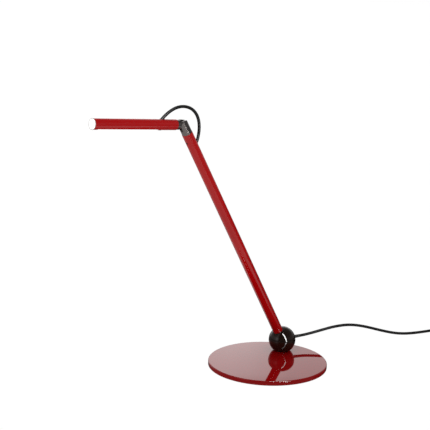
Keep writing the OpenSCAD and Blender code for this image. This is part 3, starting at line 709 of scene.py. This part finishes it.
def make_plug():
    """A moulded two-pin plug: a ribbed strain relief that runs into a waisted body with rounded edges."""
    relief = [(0, 0), (3.2, 0)]
    for i in range(6):
        x = 2 + 3.6 * i
        r = 3.3 + 0.065 * x
        relief += [(r, x), (r + 0.35, x + 0.4), (r + 0.4, x + 1.4), (r, x + 1.9)]
    relief += [(5, 25), (0, 25)]
    sleeve = lathe("plug_relief", relief, PLUG @ Matrix.Rotation(math.pi / 2, 4, "Y"), 40)
    bm = bmesh.new()
    sections = []
    count = 40
    for x, half, thick in [(24, 6, 4.6), (26, 7.6, 5.8), (30, 9.6, 6.5), (36, 11.6, 6.75), (42, 12.6, 6.8),
                           (50, 12.9, 6.8), (57, 12.9, 6.8), (59.3, 12.5, 6.4), (60, 11.6, 5.7)]:
        loop_points = []
        for k in range(count):
            a = 2 * math.pi * k / count
            c, s = math.cos(a), math.sin(a)
            y = half * math.copysign(abs(c) ** 0.55, c)
            z = thick * math.copysign(abs(s) ** 0.55, s)
            loop_points.append(bm.verts.new(PLUG @ Vector((x, y, z))))
        sections.append(loop_points)
    for a, b in zip(sections, sections[1:]):
        for k in range(count):
            bm.faces.new([a[k], a[(k + 1) % count], b[(k + 1) % count], b[k]])
    bm.faces.new(sections[0])
    bm.faces.new(sections[-1])
    body = add_object("plug_shell", bm, 50)
    for obj in (sleeve, body):
        dress(obj, satin_black)
        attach(obj, "root")
        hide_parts("plug_body")
    return [sleeve, body]


def make_tie():
    """A strap round the coil, with rounded corners."""
    mid = COIL_R[1]
    place = (Matrix.Translation(COIL_AT) @ Matrix.Rotation(math.radians(COIL_START + 180), 4, "Z")
             @ Matrix.Translation((mid, 0, 0)))
    half, top, round_r = 10.6, TIE_H + LAYERS * CORD_D + 0.9, 3.2
    outline = []
    for cx, cz, start in ((half - round_r, top - round_r, 0), (-half + round_r, top - round_r, 90),
                          (-half + round_r, 0.15 + round_r, 180), (half - round_r, 0.15 + round_r, 270)):
        outline += arc(cx, cz, round_r, start, start + 90, 6)
    line = [place @ Vector((x, 0, z)) for x, z in outline]
    bm = bmesh.new()
    count = len(line)
    centre = place @ Vector((0, 0, top / 2))
    rows = []
    width_way = (place.to_3x3() @ Vector((0, 1, 0))).normalized()
    for p in line:
        inward = (centre - p).normalized() * 0.8
        rows.append([bm.verts.new(p + width_way * w + inward * d)
                     for w, d in ((-6, 0), (6, 0), (6, 1), (-6, 1))])
    for i in range(count):
        a, b = rows[i], rows[(i + 1) % count]
        for k in range(4):
            bm.faces.new([a[k], a[(k + 1) % 4], b[(k + 1) % 4], b[k]])
    strap = dress(add_object("strap", bm, 40), foam)
    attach(strap, "root")
    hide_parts("coil_tie")
    return strap


def make_cords():
    strap = make_tie()
    plug = make_plug()
    dress(mains, cord_black)
    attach(mains, "root")
    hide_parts("mains_cord", "mains_coil", "plug_lead")
    dress(sleeve, soft_black)
    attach(sleeve, "root")
    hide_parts("cord_gland")
    dress(loop, cord_black)
    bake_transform(loop)
    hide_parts("loop_cable")


# ---- table and light ----

def mix_by(tree, value, stops):
    """A grey that follows value between stops of (value, brightness)."""
    low, high = stops[0][0], stops[-1][0]
    scale = add_node(tree, "ShaderNodeMapRange")
    scale.inputs["From Min"].default_value = low
    scale.inputs["From Max"].default_value = high
    tree.links.new(value, scale.inputs["Value"])
    ramp = tree.nodes.new("ShaderNodeValToRGB")
    elements = ramp.color_ramp.elements
    for element, level in zip(elements, (stops[0][1], stops[-1][1])):
        element.color = (level, level, level, 1)
    for at, level in stops[1:-1]:
        elements.new((at - low) / (high - low)).color = (level, level, level, 1)
    tree.links.new(scale.outputs["Result"], ramp.inputs["Fac"])
    return ramp.outputs["Color"]


def blend_grey(tree, kind, factor, a, b):
    """Two colours mixed by a factor, or multiplied when kind says so."""
    node = add_node(tree, "ShaderNodeMix", data_type="RGBA", blend_type=kind)
    for name, value in (("Factor", factor), ("A", a), ("B", b)):
        if isinstance(value, (int, float)):
            node.inputs[name].default_value = value if name == "Factor" else (value, value, value, 1)
        else:
            tree.links.new(value, node.inputs[name])
    return node.outputs["Result"]


def world_angle(tree, x, y):
    """The angle of a direction from the camera's side, in degrees, to the right when positive."""
    around = add_node(tree, "ShaderNodeMath", operation="ARCTAN2")
    tree.links.new(x, around.inputs[0])
    back = add_node(tree, "ShaderNodeMath", operation="MULTIPLY")
    back.inputs[1].default_value = -1
    tree.links.new(y, back.inputs[0])
    tree.links.new(back.outputs[0], around.inputs[1])
    degrees = add_node(tree, "ShaderNodeMath", operation="DEGREES")
    tree.links.new(around.outputs[0], degrees.inputs[0])
    return degrees.outputs[0]


def make_world():
    """White to the camera, and a soft light on matt surfaces.

    Reflections see a surround that was made for the front view.
    """
    world = bpy.data.worlds.new("studio")
    bpy.context.scene.world = world
    world.use_nodes = True
    tree = world.node_tree
    background = tree.nodes["Background"]
    spot = tree.nodes.new("ShaderNodeTexCoord").outputs["Generated"]
    turn = tree.nodes.new("ShaderNodeMapping")
    turn.vector_type = "POINT"
    turn.inputs["Rotation"].default_value = (0, 0, -LOOK + math.pi / 2)
    tree.links.new(spot, turn.inputs["Vector"])
    parts = tree.nodes.new("ShaderNodeSeparateXYZ")
    tree.links.new(turn.outputs["Vector"], parts.inputs["Vector"])
    angle = world_angle(tree, parts.outputs["X"], parts.outputs["Y"])
    slope = parts.outputs["Z"]
    walls, below = (
        blend_grey(tree, "MULTIPLY", 1, mix_by(tree, angle, sides), mix_by(tree, slope, heights))
        for sides, heights in ((SIDE_LIGHT, HEIGHT_LIGHT), (TABLE_SIDE, TABLE_LIGHT)))
    studio = blend_grey(tree, "MIX", mix_by(tree, slope, [(-0.04, 1), (0.0, 0)]), walls, below)
    path = tree.nodes.new("ShaderNodeLightPath")
    soft = mix_by(tree, slope, SOFT_LIGHT)
    studio = blend_grey(tree, "MIX", path.outputs["Is Diffuse Ray"], studio, soft)
    seen = blend_grey(tree, "MIX", path.outputs["Is Camera Ray"], studio, 1)
    tree.links.new(seen, background.inputs["Color"])
    background.inputs["Strength"].default_value = 1


# Brightness round the lamp by the angle from the camera's side, to the left below 0 and to the right above it
SIDE_LIGHT = [
    (-180, 1.82), (-150, 1.4), (-120, 0.35), (-84, 0.3), (-64, 0.55), (-50, 1.1), (-40, 0.7), (-32, 0.04),
    (25, 0.03), (50, 0.15), (80, 0.2), (125, 0.3), (150, 0.6), (170, 1.15), (175.5, 1.25), (178, 1.7),
    (180, 1.82)]
# Brightness of the walls by height, from level to straight up
HEIGHT_LIGHT = [(-0.1, 0.8), (0.26, 1.0), (0.38, 1.0), (0.46, 0.5), (0.7, 0.3), (1, 0.25)]
# Brightness of the table by the same angle, and by the slope of the view on it, from straight down to level
TABLE_SIDE = [(-180, 0.8), (-60, 1.0), (60, 1.0), (94, 1.1), (103, 0.2), (180, 0.2)]
TABLE_LIGHT = [(-1, 0.5), (-0.75, 0.6), (-0.53, 0.62), (-0.49, 1.1), (-0.45, 0.15), (-0.04, 0.12)]
# Light that falls on matt surfaces, by the same slope
SOFT_LIGHT = [(-1, 0.75), (0, 0.85), (1, 0.9)]


def strip_light(angle, distance, height, size, power, tilt, aim=Vector((-0.05, 0.03, 0.25))):
    """A strip that only shows as a reflection. Its angle is measured from the camera's side, to the right."""
    data = bpy.data.lights.new("strip", "AREA")
    data.shape = "RECTANGLE"
    data.size, data.size_y = size
    data.energy = power
    light = bpy.data.objects.new("strip", data)
    way = LOOK + math.pi + math.radians(angle)
    light.location = Vector((aim.x + distance * math.cos(way), aim.y + distance * math.sin(way), height))
    facing = (aim - light.location).to_track_quat("-Z", "Y").to_matrix()
    light.rotation_euler = (facing @ Matrix.Rotation(math.radians(tilt), 3, "Z")).to_euler()
    light.visible_diffuse = False
    bpy.context.scene.collection.objects.link(light)


def make_stage():
    """A floor that glows white. Only the camera sees it, so nothing reflects it and no shadow falls on it."""
    bm = bmesh.new()
    bmesh.ops.create_grid(bm, x_segments=2, y_segments=2, size=12000)
    bmesh.ops.translate(bm, vec=(0, 0, -0.2), verts=bm.verts)
    table = add_object("table", bm)
    material, tree, shader = nodes_of("table_white")
    glow = tint(tree, noise(tree, 3), (0.99, 0.99, 0.99), (1, 1, 1))
    shader.inputs["Base Color"].default_value = (0, 0, 0, 1)
    shader.inputs["Specular IOR Level"].default_value = 0
    tree.links.new(glow, shader.inputs["Emission Color"])
    shader.inputs["Emission Strength"].default_value = 1.02
    table.data.materials.append(material)
    table.visible_glossy = False
    table.visible_diffuse = False
    table.visible_shadow = False


dress_cad()
make_plate()
make_pad()
make_ball()
make_arm_tube()
make_head_tube()
make_knuckles()
make_end()
make_cords()
make_stage()
make_world()
strip_light(31, 1.5, 1.1, (0.22, 2.8), 75, 12)
bpy.context.scene.view_settings.view_transform = "Standard"
bpy.context.scene.view_settings.look = "None"
